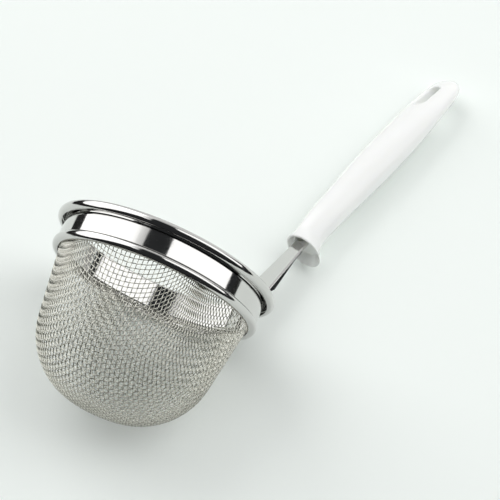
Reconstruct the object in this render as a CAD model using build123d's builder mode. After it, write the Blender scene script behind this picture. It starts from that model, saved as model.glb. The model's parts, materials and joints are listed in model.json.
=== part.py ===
from build123d import *
import math
import os

os.makedirs("parts", exist_ok=True)

# Tea strainer lying on a table. All lengths in mm, all angles in degrees.

# ---- rim band: one strip of sheet, rolled outward at the top and inward at the foot ----
rim_radius = 36.0
band_sheet = 0.5
curl_radius = 1.25
curl_sweep = 280.0
curl_centre_r = rim_radius - curl_radius - band_sheet / 2
curl_centre_z = -curl_radius - band_sheet / 2
wall_radius = 32.75
neck_z = -2.9
foot_bead_radius = 1.28
foot_centre_r = 32.3
foot_centre_z = -10.4
foot_start = math.degrees(math.acos((wall_radius - foot_centre_r) / foot_bead_radius))
foot_lip_angle = -115.0

# ---- inner ring that clamps the cloth against the band ----
ring_outer_radius = 32.19
ring_sheet = 0.5
ring_top_z = -0.9
ring_foot_z = -9.0

# ---- woven wire basket, drawn as a sheet one wire thick ----
cloth = 0.28
cloth_radius = 32.48
cloth_top_z = -1.2
cloth_bend_z = -9.4
cloth_side_top = (31.26, -11.4)
basket_depth = 52.7
corner_radius = 23.58
corner_centre_r = 4.68
side_lean = 8.76

# ---- handle line: it rises from the far side of the rim ----
handle_rise = 68.5
handle_front = (44.94, 28.40)

# ---- tang: folded strip welded inside the inner ring ----
tang_sheet = 0.8
tang_pad_outer = ring_outer_radius - ring_sheet - 0.03
tang_pad_foot = -8.3
tang_strip_foot = -0.7
tang_bend = (31.02, 0.9)
tang_join = 23.5
tang_half_width = 5.9
tang_half_neck = 3.4
tang_in_grip = 17.0
tang_edge = 0.5
flange_depth = 1.6
flange_from = -22.0
flange_full = -19.0
flange_to = -6.0

# ---- spot welds ----
weld_radius = 1.1
weld_spread = 7.0
weld_low_z = -6.6
weld_high_z = -3.4

# ---- moulded grip ----
mouth_set_back = 1.4
mouth_radius = 7.1
mouth_shift = 2.96
lip = 0.7
lip_round = 0.3
recess_depth = 2.6
recess_taper = 1.6
recess_shift = 1.3
slot_width = 7.6
slot_gap = 2.6
slot_depth = 8.0
socket_width = 2 * tang_half_neck
socket_gap = tang_sheet
hang_slot_centre = 80.0
hang_slot_length = 12.2
hang_slot_width = 5.0
hang_slot_edge = 0.7

# Sections of the grip: distance along it, half thickness, half width, shift to the outer side.
grip_sections = [
    (4.0, 5.8, 5.4, 1.5),
    (9.0, 5.1, 5.1, 0.3),
    (14.0, 5.3, 5.55, 0.0),
    (20.0, 5.4, 5.8, -0.1),
    (32.0, 5.95, 6.4, 0.0),
    (44.0, 6.3, 7.1, 0.1),
    (56.0, 6.1, 7.8, 0.2),
    (66.0, 5.5, 8.3, 0.2),
    (75.0, 4.6, 8.6, 0.1),
    (83.0, 3.8, 8.3, 0.1),
    (88.5, 3.1, 6.8, 0.1),
    (91.0, 2.3, 4.9, 0.1),
    (92.3, 1.2, 2.5, 0.1),
]
section_step = 4.0

# ---- how it lies: on the rim curl, the basket side and the grip's tail ----
mouth_axis_rise = 14.53
lying_side = 40.3
mouth_centre = (-40.85, 0.33, 35.408)

# The strainer's own axes, turned so the grip runs along +X over the table.
rise = math.radians(mouth_axis_rise)
side = math.radians(lying_side)
climb = math.radians(handle_rise)
mouth_axis = Vector(math.cos(rise), 0, math.sin(rise))
down_side = Vector(math.sin(rise), 0, -math.cos(rise))
level = Vector(0, 1, 0)
handle_side = down_side * math.cos(side) - level * math.sin(side)
handle_line = handle_side * math.cos(climb) + mouth_axis * math.sin(climb)
heading = math.degrees(math.atan2(handle_line.Y, handle_line.X))
mouth_axis = mouth_axis.rotate(Axis.Z, -heading)
handle_side = handle_side.rotate(Axis.Z, -heading)
handle_line = handle_line.rotate(Axis.Z, -heading)
across = mouth_axis.cross(handle_side)
inward = mouth_axis * math.cos(climb) - handle_side * math.sin(climb)

centre = Vector(*mouth_centre)
turning_axis = Axis(centre, mouth_axis)
profile = Plane(origin=centre, x_dir=handle_side, z_dir=across * -1)
rim_plane = Plane(origin=centre, x_dir=handle_side, z_dir=mouth_axis)
front = centre + handle_side * handle_front[0] + mouth_axis * handle_front[1]
web_plane = Plane(origin=front, x_dir=handle_line, z_dir=inward)
side_plane = Plane(origin=front, x_dir=handle_line, z_dir=across * -1)


def grip_plane(distance):
    return Plane(origin=front + handle_line * distance, x_dir=inward, z_dir=handle_line)


def place(edge):
    """Middle of an edge as distance along the handle, across it and toward its inner side."""
    offset_from_front = edge.center() - front
    return [offset_from_front.dot(line) for line in (handle_line, across, inward)]


def slope(low, mid, high, column):
    """Slope of one section size at mid that keeps the curve through its neighbours from overshooting."""
    run_low, run_high = mid[0] - low[0], high[0] - mid[0]
    rise_low = (mid[column] - low[column]) / run_low
    rise_high = (high[column] - mid[column]) / run_high
    if rise_low * rise_high <= 0:
        return 0.0
    weight_low, weight_high = 2 * run_high + run_low, run_high + 2 * run_low
    return (weight_low + weight_high) / (weight_low / rise_low + weight_high / rise_high)


def between(index, distance, column):
    """One section size at a distance between the sections index and index + 1."""
    near, far = grip_sections[index], grip_sections[index + 1]
    run = far[0] - near[0]
    chord = (far[column] - near[column]) / run
    before = chord if index == 0 else slope(grip_sections[index - 1], near, far, column)
    last = index + 2 == len(grip_sections)
    after = chord if last else slope(near, far, grip_sections[index + 2], column)
    t = (distance - near[0]) / run
    return (
        near[column] * (1 - t) ** 2 * (1 + 2 * t)
        + far[column] * t**2 * (3 - 2 * t)
        + run * t * (1 - t) * (before * (1 - t) - after * t)
    )


grip_loft = []
for index in range(len(grip_sections) - 1):
    start, end = grip_sections[index][0], grip_sections[index + 1][0]
    pieces = max(1, round((end - start) / section_step))
    for piece in range(pieces):
        distance = start + (end - start) * piece / pieces
        grip_loft.append((distance, *[between(index, distance, column) for column in (1, 2, 3)]))
grip_loft.append(grip_sections[-1])

mouth_plane = grip_plane(mouth_set_back)

# ---- outer band ----
with BuildPart() as outer_band:
    with BuildSketch(profile):
        with BuildLine():
            CenterArc((curl_centre_r, curl_centre_z), curl_radius, 180 - curl_sweep, curl_sweep)
            Line((curl_centre_r - curl_radius, curl_centre_z), (wall_radius, neck_z))
            foot = CenterArc(
                (foot_centre_r, foot_centre_z), foot_bead_radius, foot_start, foot_lip_angle - foot_start
            )
            Line((wall_radius, neck_z), foot @ 0)
        trace(line_width=band_sheet)
    revolve(axis=turning_axis)
outer_band.part.label = "outer_band"
export_step(outer_band.part, "parts/outer_band.step")

# ---- inner ring ----
with BuildPart() as inner_ring:
    with BuildSketch(profile):
        with Locations((ring_outer_radius - ring_sheet / 2, (ring_top_z + ring_foot_z) / 2)):
            RectangleRounded(ring_sheet, ring_top_z - ring_foot_z, ring_sheet * 0.45)
    revolve(axis=turning_axis)
inner_ring.part.label = "inner_ring"
export_step(inner_ring.part, "parts/inner_ring.step")

# ---- woven basket ----
corner_centre_z = -basket_depth + corner_radius
with BuildPart() as mesh_basket:
    with BuildSketch(profile):
        with BuildLine():
            corner = CenterArc(
                (corner_centre_r, corner_centre_z), corner_radius, -side_lean, side_lean - 90
            )
            Line((cloth_radius, cloth_top_z), (cloth_radius, cloth_bend_z))
            Line((cloth_radius, cloth_bend_z), cloth_side_top)
            Line(cloth_side_top, corner @ 0)
            Line(corner @ 1, (0, -basket_depth))
            offset(amount=cloth, side=Side.RIGHT)
        make_face()
    revolve(axis=turning_axis)
mesh_basket.part.label = "mesh_basket"
export_step(mesh_basket.part, "parts/mesh_basket.step")

# ---- tang ----
join_point = (
    handle_front[0] - tang_join * math.cos(climb),
    handle_front[1] - tang_join * math.sin(climb),
)
tang_end = (
    handle_front[0] + tang_in_grip * math.cos(climb),
    handle_front[1] + tang_in_grip * math.sin(climb),
)
pad_inner = tang_pad_outer - tang_sheet
with BuildPart() as handle_tang:
    with BuildSketch(profile):
        with BuildLine():
            FilletPolyline(
                (tang_bend[0], tang_strip_foot), tang_bend, join_point, tang_end, radius=1.5
            )
        trace(line_width=tang_sheet)
    extrude(amount=tang_half_width, both=True)
    with BuildSketch(side_plane):
        Polygon(
            (flange_from, 0),
            (flange_from, -tang_sheet / 2),
            (flange_full, -flange_depth),
            (flange_to, -tang_sheet / 2),
            (flange_to, 0),
            align=None,
        )
    extrude(amount=tang_half_width, both=True)
    with BuildSketch(web_plane):
        Polygon(
            (-46, -tang_half_width),
            (-30, -tang_half_width),
            (0, -tang_half_neck),
            (tang_in_grip + 2, -tang_half_neck),
            (tang_in_grip + 2, tang_half_neck),
            (0, tang_half_neck),
            (-30, tang_half_width),
            (-46, tang_half_width),
            align=None,
        )
    extrude(amount=14, both=True, mode=Mode.INTERSECT)
    with BuildSketch(web_plane.offset(-tang_sheet / 2)):
        Polygon(
            (flange_from - 2, -tang_half_width + tang_sheet + 0.6),
            (0, -tang_half_neck + tang_sheet),
            (0, tang_half_neck - tang_sheet),
            (flange_from - 2, tang_half_width - tang_sheet - 0.6),
            align=None,
        )
    extrude(amount=-4, mode=Mode.SUBTRACT)
    folded_edges = handle_tang.edges().filter_by(
        lambda edge: -tang_join < place(edge)[0] < 0
        and abs(place(edge)[1]) > tang_half_neck
        and abs(place(edge)[2] - tang_sheet / 2) < 0.02
    )
    fillet(folded_edges, radius=tang_edge)
    with BuildSketch(rim_plane.offset(tang_pad_foot)):
        Circle(tang_pad_outer)
        Circle(pad_inner, mode=Mode.SUBTRACT)
        with Locations((tang_pad_outer, 0)):
            Rectangle(6, 2 * tang_half_width, mode=Mode.INTERSECT)
    extrude(amount=0.6 - tang_pad_foot)
    for height in (weld_low_z, weld_high_z):
        with BuildSketch(Plane(origin=centre + mouth_axis * height, x_dir=across, z_dir=handle_side)):
            with Locations((-weld_spread / 2, 0), (weld_spread / 2, 0)):
                Circle(weld_radius)
        extrude(amount=rim_radius, mode=Mode.SUBTRACT)
handle_tang.part.label = "handle_tang"
export_step(handle_tang.part, "parts/handle_tang.step")

# ---- spot welds: four nuggets that fill the holes through the pad ----
with BuildPart() as weld_nuggets:
    with BuildSketch(rim_plane.offset(tang_pad_foot)):
        Circle(tang_pad_outer)
        Circle(pad_inner - 0.12, mode=Mode.SUBTRACT)
    extrude(amount=-tang_pad_foot)
    for height in (weld_low_z, weld_high_z):
        with BuildSketch(Plane(origin=centre + mouth_axis * height, x_dir=across, z_dir=handle_side)):
            with Locations((-weld_spread / 2, 0), (weld_spread / 2, 0)):
                Circle(weld_radius - 0.01)
    extrude(amount=rim_radius, mode=Mode.INTERSECT)
weld_nuggets.part.label = "weld_nuggets"
export_step(weld_nuggets.part, "parts/weld_nuggets.step")

# ---- grip ----
with BuildPart() as handle_grip:
    with BuildSketch(mouth_plane):
        with Locations((-mouth_shift, 0)):
            Circle(mouth_radius)
    for distance, half_thickness, half_width, shift in grip_loft:
        with BuildSketch(grip_plane(distance)):
            with Locations((-shift, 0)):
                Ellipse(half_thickness, half_width)
    loft()
    fillet(handle_grip.edges().sort_by(Axis(front, handle_line))[0], radius=lip_round)
    with BuildSketch(mouth_plane):
        with Locations((-mouth_shift, 0)):
            Circle(mouth_radius - lip)
    with BuildSketch(mouth_plane.offset(recess_depth)):
        with Locations((-mouth_shift + recess_shift, 0)):
            Circle(mouth_radius - lip - recess_taper)
    loft(mode=Mode.SUBTRACT)
    with BuildSketch(grip_plane(-2)):
        Rectangle(slot_gap, slot_width)
    extrude(amount=2 + slot_depth, mode=Mode.SUBTRACT)
    with BuildSketch(grip_plane(0)):
        Rectangle(socket_gap, socket_width)
    extrude(amount=tang_in_grip + 0.5, mode=Mode.SUBTRACT)
    with BuildSketch(web_plane):
        with Locations((hang_slot_centre, 0)):
            SlotOverall(hang_slot_length, hang_slot_width)
    extrude(amount=20, both=True, mode=Mode.SUBTRACT)
    slot_rims = handle_grip.edges().filter_by(
        lambda edge: abs(place(edge)[0] - hang_slot_centre) < hang_slot_length / 2 + 0.5
        and abs(place(edge)[1]) < hang_slot_width / 2 + 0.5
        and abs(place(edge)[2]) > 1.5
    )
    fillet(slot_rims, radius=hang_slot_edge)
handle_grip.part.label = "handle_grip"
export_step(handle_grip.part, "parts/handle_grip.step")
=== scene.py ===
import json
import math

import bpy
import numpy as np
from mathutils import Matrix, Vector


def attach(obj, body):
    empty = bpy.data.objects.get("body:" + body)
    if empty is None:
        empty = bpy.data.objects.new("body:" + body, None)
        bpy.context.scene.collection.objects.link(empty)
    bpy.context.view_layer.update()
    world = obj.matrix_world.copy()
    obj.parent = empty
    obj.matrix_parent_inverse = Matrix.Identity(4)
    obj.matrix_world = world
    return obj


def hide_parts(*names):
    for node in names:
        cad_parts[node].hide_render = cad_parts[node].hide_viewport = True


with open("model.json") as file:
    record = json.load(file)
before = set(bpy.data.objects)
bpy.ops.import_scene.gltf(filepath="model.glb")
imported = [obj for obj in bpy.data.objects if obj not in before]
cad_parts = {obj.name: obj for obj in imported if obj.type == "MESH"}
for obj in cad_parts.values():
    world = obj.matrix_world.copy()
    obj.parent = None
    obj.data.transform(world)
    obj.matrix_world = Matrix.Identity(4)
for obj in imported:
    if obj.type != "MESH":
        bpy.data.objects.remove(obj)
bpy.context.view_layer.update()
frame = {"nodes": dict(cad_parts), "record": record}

MM = 0.001
scene = bpy.context.scene

# ---------------------------------------------------------------- the strainer's own axes
# AXIS points out of the mouth, SIDE across the rim towards the handle, and ACROSS is square to both.
# The hanging slot's axis points in towards AXIS.
mounts = {m["name"]: m for m in frame["record"]["mounts"]}
MOUTH = np.array(mounts["mouth"]["pos_m"])
AXIS = np.array(mounts["mouth"]["axis"])
AXIS = AXIS / np.linalg.norm(AXIS)
INWARD = np.array(mounts["hanging_slot"]["axis"])
INWARD = INWARD / np.linalg.norm(INWARD)
SIDE = AXIS * (AXIS @ INWARD) - INWARD
SIDE = SIDE / np.linalg.norm(SIDE)
ACROSS = np.cross(AXIS, SIDE)


def place(points):
    """Points in millimetres in the strainer's own axes, in metres in the row frame."""
    p = np.asarray(points, float) * MM
    return MOUTH + p[..., [0]] * SIDE + p[..., [1]] * ACROSS + p[..., [2]] * AXIS


# ---------------------------------------------------------------- mesh helpers
def new_object(name, verts, faces, smooth=True):
    mesh = bpy.data.meshes.new(name)
    mesh.from_pydata(verts.tolist(), [], faces)
    mesh.validate()
    mesh.update()
    if smooth:
        mesh.shade_smooth()
    obj = bpy.data.objects.new(name, mesh)
    scene.collection.objects.link(obj)
    return obj


def flat_object(name, corners):
    """One four-sided face, with its corners in metres."""
    return new_object(name, np.array(corners, float), [[0, 1, 2, 3]], False)


def tube_mesh(paths, radius, sides):
    """One mesh of round wires. Each path is (centre points, normals), both n x 3, in mm."""
    verts, faces, base = [], [], 0
    angle = np.arange(sides) * 2 * math.pi / sides
    for centre, normal in paths:
        tangent = np.gradient(centre, axis=0)
        tangent /= np.linalg.norm(tangent, axis=1)[:, None]
        normal = normal - tangent * (normal * tangent).sum(1)[:, None]
        normal /= np.linalg.norm(normal, axis=1)[:, None]
        binormal = np.cross(tangent, normal)
        ring = (
            centre[:, None, :]
            + radius * np.cos(angle)[None, :, None] * normal[:, None, :]
            + radius * np.sin(angle)[None, :, None] * binormal[:, None, :]
        )
        n = len(centre)
        verts.append(ring.reshape(-1, 3))
        a = np.arange(n - 1)[:, None] * sides + np.arange(sides)[None, :]
        b = np.arange(n - 1)[:, None] * sides + (np.arange(sides)[None, :] + 1) % sides
        quads = np.stack([a, a + sides, b + sides, b], -1).reshape(-1, 4) + base
        faces.extend(quads.tolist())
        faces.append([base + k for k in range(sides)])
        faces.append([base + (n - 1) * sides + k for k in reversed(range(sides))])
        base += n * sides
    return np.concatenate(verts), faces


# ---------------------------------------------------------------- materials
NOISE_SCALE = 260.0
PLASTIC_NOISE_SCALE = 160.0
BUMP_DISTANCE = 0.00002
MATTE_ROUGHNESS = 0.9


def material(name):
    mat = bpy.data.materials.new(name)
    mat.use_nodes = True
    nodes = mat.node_tree.nodes
    links = mat.node_tree.links
    return mat, nodes, links, nodes["Principled BSDF"]


def object_noise(nodes, links, scale, detail=3.0):
    coords = nodes.new("ShaderNodeTexCoord")
    noise = nodes.new("ShaderNodeTexNoise")
    noise.inputs["Scale"].default_value = scale
    noise.inputs["Detail"].default_value = detail
    noise.inputs["Roughness"].default_value = 0.55
    links.new(coords.outputs["Object"], noise.inputs["Vector"])
    return noise


def ramp(nodes, links, source, low, high, from_min=0.3, from_max=0.7):
    r = nodes.new("ShaderNodeMapRange")
    r.inputs["From Min"].default_value = from_min
    r.inputs["From Max"].default_value = from_max
    r.inputs["To Min"].default_value = low
    r.inputs["To Max"].default_value = high
    links.new(source, r.inputs["Value"])
    return r.outputs["Result"]


def steel(name, colour, rough_low, rough_high, bump, bump_scale):
    """Bare steel with slightly uneven polish and a very fine bump."""
    mat, nodes, links, bsdf = material(name)
    bsdf.inputs["Base Color"].default_value = (*colour, 1)
    bsdf.inputs["Metallic"].default_value = 1.0
    noise = object_noise(nodes, links, NOISE_SCALE)
    links.new(ramp(nodes, links, noise.outputs["Fac"], rough_low, rough_high), bsdf.inputs["Roughness"])
    fine = object_noise(nodes, links, bump_scale, 2.0)
    b = nodes.new("ShaderNodeBump")
    b.inputs["Strength"].default_value = bump
    b.inputs["Distance"].default_value = BUMP_DISTANCE
    links.new(fine.outputs["Fac"], b.inputs["Height"])
    links.new(b.outputs["Normal"], bsdf.inputs["Normal"])
    return mat


def plastic(name, colour, rough_low, rough_high):
    """Glossy moulded plastic that lets a little light under its skin."""
    mat, nodes, links, bsdf = material(name)
    bsdf.inputs["Base Color"].default_value = (*colour, 1)
    bsdf.inputs["IOR"].default_value = 1.5
    bsdf.inputs["Subsurface Weight"].default_value = 0.18
    bsdf.inputs["Subsurface Radius"].default_value = (0.003, 0.003, 0.0026)
    bsdf.inputs["Subsurface Scale"].default_value = 1.0
    noise = object_noise(nodes, links, PLASTIC_NOISE_SCALE)
    links.new(ramp(nodes, links, noise.outputs["Fac"], rough_low, rough_high), bsdf.inputs["Roughness"])
    return mat


def matte(name, colour, specular):
    """Plain paper or card."""
    mat, nodes, links, bsdf = material(name)
    bsdf.inputs["Base Color"].default_value = (*colour, 1)
    bsdf.inputs["Roughness"].default_value = MATTE_ROUGHNESS
    bsdf.inputs["Specular IOR Level"].default_value = specular
    return mat


POLISHED = steel("polished_steel", (0.63, 0.625, 0.61), 0.06, 0.11, 0.15, 900.0)
WIRE = steel("wire_steel", (0.64, 0.635, 0.575), 0.06, 0.13, 0.2, 2500.0)
PLASTIC = plastic("white_plastic", (0.925, 0.935, 0.92), 0.12, 0.2)

# ---------------------------------------------------------------- woven cloth, in mm
WIRE_D = 0.28
PITCH = 1.44
WEAVE_TURN = math.radians(-146.0)

# the cup: the outside of the cloth, with z counted down from the rim
CLOTH_R = 32.48  # where band and ring clamp it
CLAMP_TOP = -1.2
CLAMP_FOOT = -9.4
SIDE_TOP = (31.26, -11.4)
LEAN = math.radians(8.76)
CORNER_R = 23.58
CORNER_C = 4.68
DEPTH = 52.7
CLAMP_GAP = 0.02  # between cloth and band

PROFILE_STEP = 0.05
HALF_WINDOW = 10  # the profile's bends are smoothed over this many steps to each side
NORMAL_STEP = 0.2

DRAPE_REACH = 72.0  # the pole is never further than this from the clamped edge
HALVINGS = 40
NEWTON_ROUNDS = 30
NEWTON_STEP = 1e-4
LEAST_DETERMINANT = 1e-9
MOST_SLIDE = 0.4  # of a pitch, in one Newton round
MOST_SWING = 0.05  # radians, in one Newton round

STEPS_PER_CELL = 5
WIRE_SIDES = 6
PIECES = 4  # of each family of wires
CRIMP_HEIGHTS = [-10.2, -9.2]  # the crimp is pressed flat between band and ring
CRIMP_SHARES = [1.0, 0.12]


def cloth_profile():
    """The middle surface of the cloth from the pole to the clamped edge: arc length, then r and z."""
    r_mid = CORNER_R - WIRE_D
    centre_z = -DEPTH + CORNER_R
    clamp_r = CLOTH_R - WIRE_D / 2 - CLAMP_GAP
    pts = [(x, centre_z - r_mid) for x in np.linspace(0, CORNER_C, 20)]
    for a in np.radians(np.linspace(-90, -math.degrees(LEAN), 160)[1:]):
        pts.append((CORNER_C + r_mid * math.cos(a), centre_z + r_mid * math.sin(a)))
    pts.append((SIDE_TOP[0] - WIRE_D * math.cos(LEAN), SIDE_TOP[1] + WIRE_D * math.sin(LEAN)))
    pts.append((clamp_r, CLAMP_FOOT))
    pts.append((clamp_r, CLAMP_TOP))
    pts = np.array(pts)
    run = np.r_[0, np.cumsum(np.hypot(*np.diff(pts, axis=0).T))]
    s = np.arange(0, run[-1], PROFILE_STEP)
    q = np.c_[np.interp(s, run, pts[:, 0]), np.interp(s, run, pts[:, 1])]
    mirrored = [[-p[0], p[1]] for p in q[HALF_WINDOW:0:-1]]
    padded = np.r_[mirrored, q, np.repeat(q[-1:], HALF_WINDOW, 0)]
    window = 2 * HALF_WINDOW + 1
    kernel = np.ones(window) / window
    q = np.c_[np.convolve(padded[:, 0], kernel, "valid"), np.convolve(padded[:, 1], kernel, "valid")]
    return np.r_[0, np.cumsum(np.hypot(*np.diff(q, axis=0).T))], q


RUN, PROFILE = cloth_profile()


def on_cloth(s, turn):
    """The point at arc length s from the pole, turned about the cup's axis."""
    r = np.interp(s, RUN, PROFILE[:, 0])
    z = np.interp(s, RUN, PROFILE[:, 1]) + np.maximum(s - RUN[-1], 0)
    return np.stack([r * np.cos(turn), r * np.sin(turn), z], -1)


def cloth_normal(s, turn):
    """The outward normal at the same place."""
    above, below = s + NORMAL_STEP, np.maximum(s - NORMAL_STEP, 0)
    dr = np.interp(above, RUN, PROFILE[:, 0]) - np.interp(below, RUN, PROFILE[:, 0])
    dz = np.interp(above, RUN, PROFILE[:, 1]) - np.interp(below, RUN, PROFILE[:, 1])
    n = np.hypot(dr, dz) + 1e-12
    return np.stack([dz / n * np.cos(turn), dz / n * np.sin(turn), -dr / n], -1)


def pole_row(pitch, count):
    """Arc lengths of the crossings along a wire through the pole, one pitch apart in a straight line."""
    row, here = [0.0], 0.0
    for _ in range(count):
        low, high = here, here + 1.5 * pitch
        start = on_cloth(np.array(here), 0.0)
        for _ in range(HALVINGS):
            middle = (low + high) / 2
            if np.linalg.norm(on_cloth(np.array(middle), 0.0) - start) < pitch:
                low = middle
            else:
                high = middle
        here = low
        row.append(here)
    return row


def drape(pitch, count):
    """Square cloth draped over the cup: every cell keeps its side and only its angle changes.

    Gives one quadrant as arc length and turn for each crossing.
    """
    s = np.full((count + 1, count + 1), np.nan)
    turn = np.full((count + 1, count + 1), np.nan)
    row = pole_row(pitch, count)
    s[:, 0] = row
    s[0, :] = row
    turn[:, 0] = 0.0
    turn[0, :] = math.pi / 2
    for k in range(2, 2 * count + 1):
        i = np.array([a for a in range(1, k) if a <= count and k - a <= count])
        j = k - i
        a = on_cloth(s[i - 1, j], turn[i - 1, j])
        b = on_cloth(s[i, j - 1], turn[i, j - 1])
        c = on_cloth(s[i - 1, j - 1], turn[i - 1, j - 1])
        guess = a + b - c
        guess_s = 0.5 * (s[i - 1, j] + s[i, j - 1]) + 0.7 * pitch
        x = np.stack([guess_s, np.arctan2(guess[:, 1], guess[:, 0])], -1)
        for _ in range(NEWTON_ROUNDS):
            p = on_cloth(x[:, 0], x[:, 1])
            fa = ((p - a) ** 2).sum(-1) - pitch**2
            fb = ((p - b) ** 2).sum(-1) - pitch**2
            ds = (on_cloth(x[:, 0] + NEWTON_STEP, x[:, 1]) - p) / NEWTON_STEP
            dt = (on_cloth(x[:, 0], x[:, 1] + NEWTON_STEP) - p) / NEWTON_STEP
            m00, m01 = 2 * ((p - a) * ds).sum(-1), 2 * ((p - a) * dt).sum(-1)
            m10, m11 = 2 * ((p - b) * ds).sum(-1), 2 * ((p - b) * dt).sum(-1)
            det = m00 * m11 - m01 * m10
            det = np.where(np.abs(det) < LEAST_DETERMINANT, LEAST_DETERMINANT, det)
            x[:, 0] -= np.clip((m11 * fa - m01 * fb) / det, -MOST_SLIDE * pitch, MOST_SLIDE * pitch)
            x[:, 1] -= np.clip((m00 * fb - m10 * fa) / det, -MOST_SWING, MOST_SWING)
        s[i, j], turn[i, j] = x[:, 0], x[:, 1]
    return s, turn


def crossing(s, turn, i, j):
    """Arc length and turn of crossing (i, j) anywhere on the cup, by the cloth's symmetry."""
    a, b = abs(i), abs(j)
    t = turn[a, b]
    if i < 0:
        t = math.pi - t
    if j < 0:
        t = -t
    return s[a, b], t


def through(values, steps):
    """A smooth curve through the values, with this many steps from each to the next."""
    n = len(values)
    t = np.arange((n - 1) * steps + 1) / steps
    k = np.minimum(t.astype(int), n - 2)
    f = (t - k)[:, None]
    a, b = values[np.maximum(k - 1, 0)], values[k]
    c, d = values[k + 1], values[np.minimum(k + 2, n - 1)]
    square = 2 * a - 5 * b + 4 * c - d
    cube = 3 * b - a - 3 * c + d
    return k, f, 0.5 * (2 * b + (c - a) * f + square * f**2 + cube * f**3)


def cloth_wires():
    """Centre lines and normals of both families of wires, each passing over and under the other."""
    count = int(DRAPE_REACH / PITCH)
    s, turn = drape(PITCH, count)
    families = {"warp": [], "weft": []}
    for family, out in families.items():
        is_warp = family == "warp"
        for line in range(-count, count + 1):
            reach = 0
            while reach <= count and s[abs(line), reach] <= RUN[-1]:
                reach += 1
            reach -= 1
            if reach < 2:
                continue
            nodes_s, nodes_t, over = [], [], []
            for k in range(-reach, reach + 1):
                i, j = (k, line) if is_warp else (line, k)
                a, t = crossing(s, turn, i, j)
                nodes_s.append(a)
                nodes_t.append(t)
                over.append(1 if ((i + j) % 2 == 0) == is_warp else -1)
            centre = on_cloth(np.array(nodes_s), np.array(nodes_t))
            normal = cloth_normal(np.array(nodes_s), np.array(nodes_t))
            k, f, mid = through(centre, STEPS_PER_CELL)
            nrm = through(normal, STEPS_PER_CELL)[2]
            nrm /= np.linalg.norm(nrm, axis=1)[:, None]
            share = np.interp(mid[:, 2], CRIMP_HEIGHTS, CRIMP_SHARES)
            wave = np.array(over)[k] * np.cos(math.pi * f[:, 0]) * WIRE_D / 2 * share
            out.append((mid + nrm * wave[:, None], nrm))
    return families


TURN_COS, TURN_SIN = math.cos(WEAVE_TURN), math.sin(WEAVE_TURN)
TURN = np.array([[TURN_COS, TURN_SIN, 0], [-TURN_SIN, TURN_COS, 0], [0, 0, 1]])

for name, wires in cloth_wires().items():
    part = (len(wires) + PIECES - 1) // PIECES
    for k in range(PIECES):
        verts, faces = tube_mesh(wires[k * part : (k + 1) * part], WIRE_D / 2, WIRE_SIDES)
        piece = new_object(f"basket_{name}_{k + 1}", place(verts @ TURN), faces)
        piece.data.materials.append(WIRE)
        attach(piece, "root")
        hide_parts("mesh_basket")

# ---------------------------------------------------------------- carried-over pieces
for node, mat in (
    ("outer_band", POLISHED),
    ("inner_ring", POLISHED),
    ("handle_tang", POLISHED),
    ("weld_nuggets", POLISHED),
    ("handle_grip", PLASTIC),
):
    obj = frame["nodes"][node]
    obj.data.materials.clear()
    obj.data.materials.append(mat)

# ---------------------------------------------------------------- floor
LOW, HIGH = -1.1, 1.1  # the floor's edges in x and in y

floor = flat_object("floor", [(LOW, LOW, 0), (HIGH, LOW, 0), (HIGH, HIGH, 0), (LOW, HIGH, 0)])
floor.data.materials.append(matte("floor_paper", (0.90, 0.945, 0.915), 0.1))

# ---------------------------------------------------------------- lights and reflection cards
CARD_HEIGHT = 0.0005
BLACK, GREY = 0.02, 0.35
LEFT_EDGE = 0.185  # in mirror reflections the black cards paint the floor dark, leaving a bare strip of floor between these three edges
RIGHT_EDGE = -0.3
BACK_EDGE = -0.14


def direction(azimuth, elevation):
    """Unit vector: azimuth counted from +X towards +Y, elevation above the table."""
    a, e = math.radians(azimuth), math.radians(elevation)
    return Vector((math.cos(a) * math.cos(e), math.sin(a) * math.cos(e), math.sin(e)))


def softbox(name, azimuth, elevation, distance, width, height, power, glossy=True):
    """An area light turned to the origin. With glossy False, mirror reflections don't see it."""
    data = bpy.data.lights.new(name, "AREA")
    data.shape = "RECTANGLE"
    data.size, data.size_y = width, height
    data.energy = power
    obj = bpy.data.objects.new(name, data)
    d = direction(azimuth, elevation)
    obj.location = d * distance
    obj.rotation_mode = "QUATERNION"
    obj.rotation_quaternion = d.to_track_quat("Z", "Y")
    obj.visible_camera = False
    obj.visible_glossy = glossy
    scene.collection.objects.link(obj)


def only_in_mirrors(obj):
    """Hides a card from everything but mirror reflections."""
    obj.visible_camera = False
    obj.visible_diffuse = False
    obj.visible_shadow = False
    obj.visible_transmission = False


def dark_card(name, corners, grey):
    """A level card just above the floor, seen only in mirrors: a painted dark reflection."""
    obj = flat_object(name, [(x, y, CARD_HEIGHT) for x, y in corners])
    obj.data.materials.append(matte(name, (grey, grey, grey), 0.0))
    only_in_mirrors(obj)


def glow_card(name, azimuth, low, high, distance, width, bright_low, bright_high, fade_from):
    """A standing or leaning card, with elevations low to high, that glows only in mirror reflections and
    fades from part of its height up: a painted reflection, not a lamp.
    """
    d_low, d_high = direction(azimuth, low), direction(azimuth, high)
    turn = math.radians(azimuth)
    across = Vector((-math.sin(turn), math.cos(turn), 0)) * width / 2
    foot, head = d_low * distance, d_high * distance
    corners = (foot - across, foot + across, head + across, head - across)
    obj = flat_object(name, [list(c) for c in corners])
    mat, nodes, links, bsdf = material(name)
    nodes.remove(bsdf)
    emission = nodes.new("ShaderNodeEmission")
    coords = nodes.new("ShaderNodeTexCoord")
    split = nodes.new("ShaderNodeSeparateXYZ")
    links.new(coords.outputs["Generated"], split.inputs["Vector"])
    strength = ramp(nodes, links, split.outputs["Z"], bright_low, bright_high, fade_from, 1.0)
    links.new(strength, emission.inputs["Strength"])
    links.new(emission.outputs["Emission"], nodes["Material Output"].inputs["Surface"])
    obj.data.materials.append(mat)
    only_in_mirrors(obj)


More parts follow.
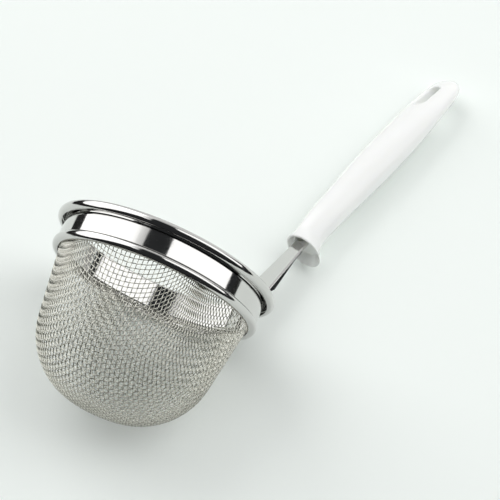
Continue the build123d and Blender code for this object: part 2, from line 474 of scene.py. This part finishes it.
softbox("softbox_left", azimuth=86, elevation=35.5, distance=1.0, width=0.9, height=1.38, power=6.8)
softbox("softbox_right", azimuth=-64, elevation=43.5, distance=1.0, width=0.56, height=1.4, power=4.0)
softbox(
    "fill_top", azimuth=20, elevation=80, distance=1.3, width=2.2, height=2.2,
    power=12.9, glossy=False,
)
softbox(
    "fill_right", azimuth=-50, elevation=35, distance=1.2, width=1.0, height=1.0,
    power=2.6, glossy=False,
)

# glowing cards seen only in mirrors: painted reflections of bright panels that light nothing else
glow_card(
    "glow_left", azimuth=98, low=69.5, high=77.5, distance=0.9, width=1.3,
    bright_low=1.15, bright_high=0.7, fade_from=0.0,
)
glow_card(
    "glow_side", azimuth=123, low=1, high=70, distance=0.98, width=0.58,
    bright_low=1.74, bright_high=1.4, fade_from=0.9,
)
# painted reflection of a pale backdrop, seen only in mirrors and brighter low down
glow_card(
    "backdrop_reflection", azimuth=20, low=-3, high=74, distance=1.6, width=3.2,
    bright_low=0.85, bright_high=0.35, fade_from=0.6,
)

# dark and grey cards, seen only in mirrors: painted dark reflections of the floor beyond the bare strip
LEFT_BEND, LEFT_FAR_BEND = (0.06, LEFT_EDGE), (0.22, HIGH)
RIGHT_BEND, RIGHT_FAR_BEND = (0.25, RIGHT_EDGE), (0.85, LOW)
dark_card("card_left", [(LOW, LEFT_EDGE), LEFT_BEND, LEFT_FAR_BEND, (LOW, HIGH)], BLACK)
dark_card("card_left_far", [LEFT_BEND, (HIGH, LEFT_EDGE), (HIGH, HIGH), LEFT_FAR_BEND], GREY)
dark_card("card_right", [(LOW, LOW), RIGHT_FAR_BEND, RIGHT_BEND, (LOW, RIGHT_EDGE)], BLACK)
dark_card("card_right_far", [RIGHT_FAR_BEND, (HIGH, LOW), (HIGH, RIGHT_EDGE), RIGHT_BEND], GREY)
dark_card(
    "card_back",
    [(LOW, RIGHT_EDGE), (BACK_EDGE, RIGHT_EDGE), (BACK_EDGE, LEFT_EDGE), (LOW, LEFT_EDGE)],
    BLACK,
)

# ---------------------------------------------------------------- room: bright where the camera sees it
SEEN_COLOUR, SEEN_STRENGTH = (0.93, 0.95, 0.94, 1), 0.9
ROOM_COLOUR, ROOM_STRENGTH = (0.9, 0.95, 1.0, 1), 0.03

world = bpy.data.worlds.new("studio")
scene.world = world
world.use_nodes = True
tree = world.node_tree
tree.nodes.clear()
out = tree.nodes.new("ShaderNodeOutputWorld")
mix = tree.nodes.new("ShaderNodeMixShader")
path = tree.nodes.new("ShaderNodeLightPath")
seen = tree.nodes.new("ShaderNodeBackground")
seen.inputs["Color"].default_value = SEEN_COLOUR
seen.inputs["Strength"].default_value = SEEN_STRENGTH
room = tree.nodes.new("ShaderNodeBackground")
room.inputs["Color"].default_value = ROOM_COLOUR
room.inputs["Strength"].default_value = ROOM_STRENGTH
tree.links.new(path.outputs["Is Camera Ray"], mix.inputs["Fac"])
tree.links.new(room.outputs["Background"], mix.inputs[1])
tree.links.new(seen.outputs["Background"], mix.inputs[2])
tree.links.new(mix.outputs["Shader"], out.inputs["Surface"])

# ---------------------------------------------------------------- camera
CAMERA_PLACE = (-0.2463131, -0.1785070, 0.4440524)
RIGHT = Vector((0.605474, -0.795664, 0.017874))
DOWN = Vector((-0.654453, -0.510546, -0.557704))
FORWARD = Vector((0.452871, 0.325978, -0.829847))

cam_data = bpy.data.cameras.new("camera")
cam_data.lens = 115.2
cam_data.sensor_width = 36.0
cam_data.clip_start = 0.01
camera = bpy.data.objects.new("camera", cam_data)
scene.collection.objects.link(camera)
facing = Matrix((RIGHT, -DOWN, -FORWARD)).transposed().to_4x4()
camera.matrix_world = Matrix.Translation(CAMERA_PLACE) @ facing
scene.camera = camera

scene.view_settings.view_transform = "Standard"
scene.view_settings.look = "None"
